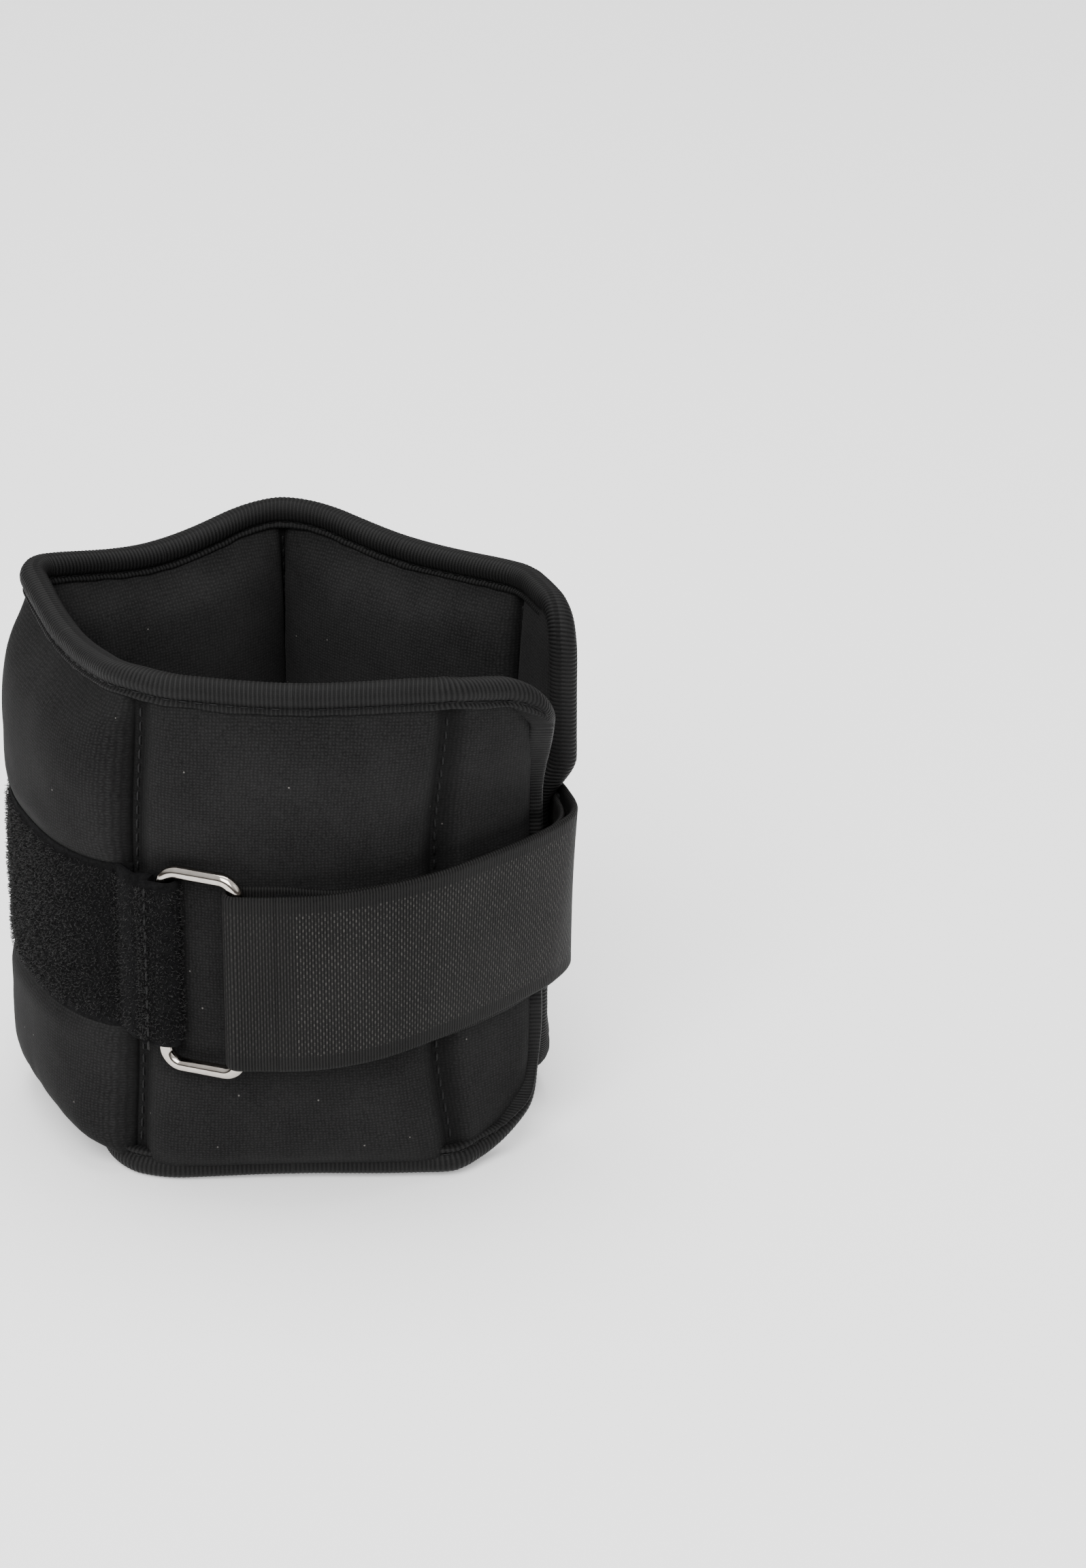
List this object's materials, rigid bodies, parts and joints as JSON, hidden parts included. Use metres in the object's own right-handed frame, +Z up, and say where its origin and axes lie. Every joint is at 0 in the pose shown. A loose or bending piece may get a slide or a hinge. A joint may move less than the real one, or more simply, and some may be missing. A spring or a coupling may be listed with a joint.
{
  "type": "ankle cuff weight",
  "caption": "C-shaped neoprene ankle weight with sand-filled pockets, end flaps, metal ring and a hook-and-loop strap, standing closed.",
  "frame": {"origin": "middle of the bounding box, on the surface that the lower binding stands on", "axes": "+Z up, parallel to every seam; -Y towards the ring and strap; +X towards the gap between the flap ends"},
  "size_m": [0.1204, 0.1144, 0.118],
  "materials": {
    "neoprene": "knit-faced neoprene, matt black",
    "lining": "brushed knit, matt black",
    "binding": "cross-ribbed elastic tape, charcoal",
    "loop_tape": "fuzzy loop pile, matt black",
    "strap": "woven webbing, charcoal",
    "hook": "hook tape, satin black",
    "thread": "polyester thread",
    "ring": "polished nickel plate",
    "pouch": "thin plastic film",
    "iron_sand": "loose iron grit"
  },
  "bodies": {
    "back_left": {"back_left_outer_cover": "neoprene", "back_left_lining": "lining", "back_left_weight_pouch": "pouch", "back_left_iron_sand": "iron_sand", "back_left_top_binding": "binding", "back_left_bottom_binding": "binding", "back_left_loop_tape": "loop_tape", "left_corner_seam": "thread", "back_corner_seam": "thread"},
    "left": {"left_outer_cover": "neoprene", "left_lining": "lining", "left_weight_pouch": "pouch", "left_iron_sand": "iron_sand", "left_top_binding": "binding", "left_bottom_binding": "binding", "left_loop_tape": "loop_tape", "front_corner_seam": "thread"},
    "front": {"front_outer_cover": "neoprene", "front_lining": "lining", "front_weight_pouch": "pouch", "front_iron_sand": "iron_sand", "front_top_binding": "binding", "front_bottom_binding": "binding", "front_flap_seam": "thread", "ring_tab": "loop_tape", "tab_stitching": "thread"},
    "front_flap": {"front_flap_outer_cover": "neoprene", "front_flap_lining": "lining", "front_flap_binding": "binding"},
    "ring": {"ring": "ring"},
    "back_right": {"back_right_outer_cover": "neoprene", "back_right_lining": "lining", "back_right_weight_pouch": "pouch", "back_right_iron_sand": "iron_sand", "back_right_top_binding": "binding", "back_right_bottom_binding": "binding", "back_right_loop_tape": "loop_tape", "right_flap_seam": "thread"},
    "right_flap": {"right_flap_outer_cover": "neoprene", "right_flap_lining": "lining", "right_flap_binding": "binding", "right_flap_loop_tape": "loop_tape", "strap_root": "strap", "strap_stitching": "thread"},
    "strap_front": {"strap_under_layer": "strap", "strap_fold": "strap"},
    "strap_tail": {"strap_outer_layer": "strap"},
    "strap_tip": {"strap_tip": "strap", "hook_patch": "hook"}
  },
  "joints": [
    {"name": "cuff_open", "type": "hinge", "parent": "back_left", "child": "back_right", "pos_m": [-0.00494, 0.05485, 0.059], "axis": [0, 0, 1], "range_deg": [0, 75]},
    {"name": "left_fold", "type": "hinge", "parent": "back_left", "child": "left", "pos_m": [-0.05726, 0.01628, 0.059], "axis": [0, 0, -1], "range_deg": [0, 76.04]},
    {"name": "front_fold", "type": "hinge", "parent": "left", "child": "front", "pos_m": [-0.03244, -0.04108, 0.059], "axis": [0, 0, -1], "range_deg": [0, 65.77]},
    {"name": "front_flap_fold", "type": "hinge", "parent": "front", "child": "front_flap", "pos_m": [0.03106, -0.04108, 0.059], "axis": [0, 0, -1], "range_deg": [0, 41.05]},
    {"name": "ring_swing", "type": "hinge", "parent": "front", "child": "ring", "pos_m": [-0.02674, -0.04778, 0.0532], "axis": [0, 0, -1], "range_deg": [0, 35.05]},
    {"name": "right_flap_fold", "type": "hinge", "parent": "back_right", "child": "right_flap", "pos_m": [0.04745, 0.01151, 0.059], "axis": [0, 0, 1], "range_deg": [0, 36.05]},
    {"name": "strap_bend", "type": "hinge", "parent": "right_flap", "child": "strap_front", "pos_m": [0.05573, -0.01936, 0.0532], "axis": [0, 0, 1], "range_deg": [0, 70.05], "deforming": ["strap_root", "strap_under_layer", "strap_fold", "strap_outer_layer", "strap_tip", "hook_patch"]},
    {"name": "strap_peel", "type": "hinge", "parent": "strap_front", "child": "strap_tail", "pos_m": [-0.01096, -0.05409, 0.0532], "axis": [0, 0, -1], "range_deg": [0, 150]},
    {"name": "tip_bend", "type": "hinge", "parent": "strap_tail", "child": "strap_tip", "pos_m": [0.05573, -0.01936, 0.0532], "axis": [0, 0, -1], "range_deg": [0, 70.05]}
  ],
  "couplings": [
    {"joint": "left_fold", "follows": "cuff_open", "ratio": 1.0132},
    {"joint": "front_fold", "follows": "cuff_open", "ratio": 0.8763},
    {"joint": "front_flap_fold", "follows": "cuff_open", "ratio": 0.5467},
    {"joint": "right_flap_fold", "follows": "cuff_open", "ratio": 0.48},
    {"joint": "ring_swing", "follows": "cuff_open", "ratio": 0.4667},
    {"joint": "strap_bend", "follows": "cuff_open", "ratio": 0.9333},
    {"joint": "tip_bend", "follows": "cuff_open", "ratio": 0.9333}
  ]
}
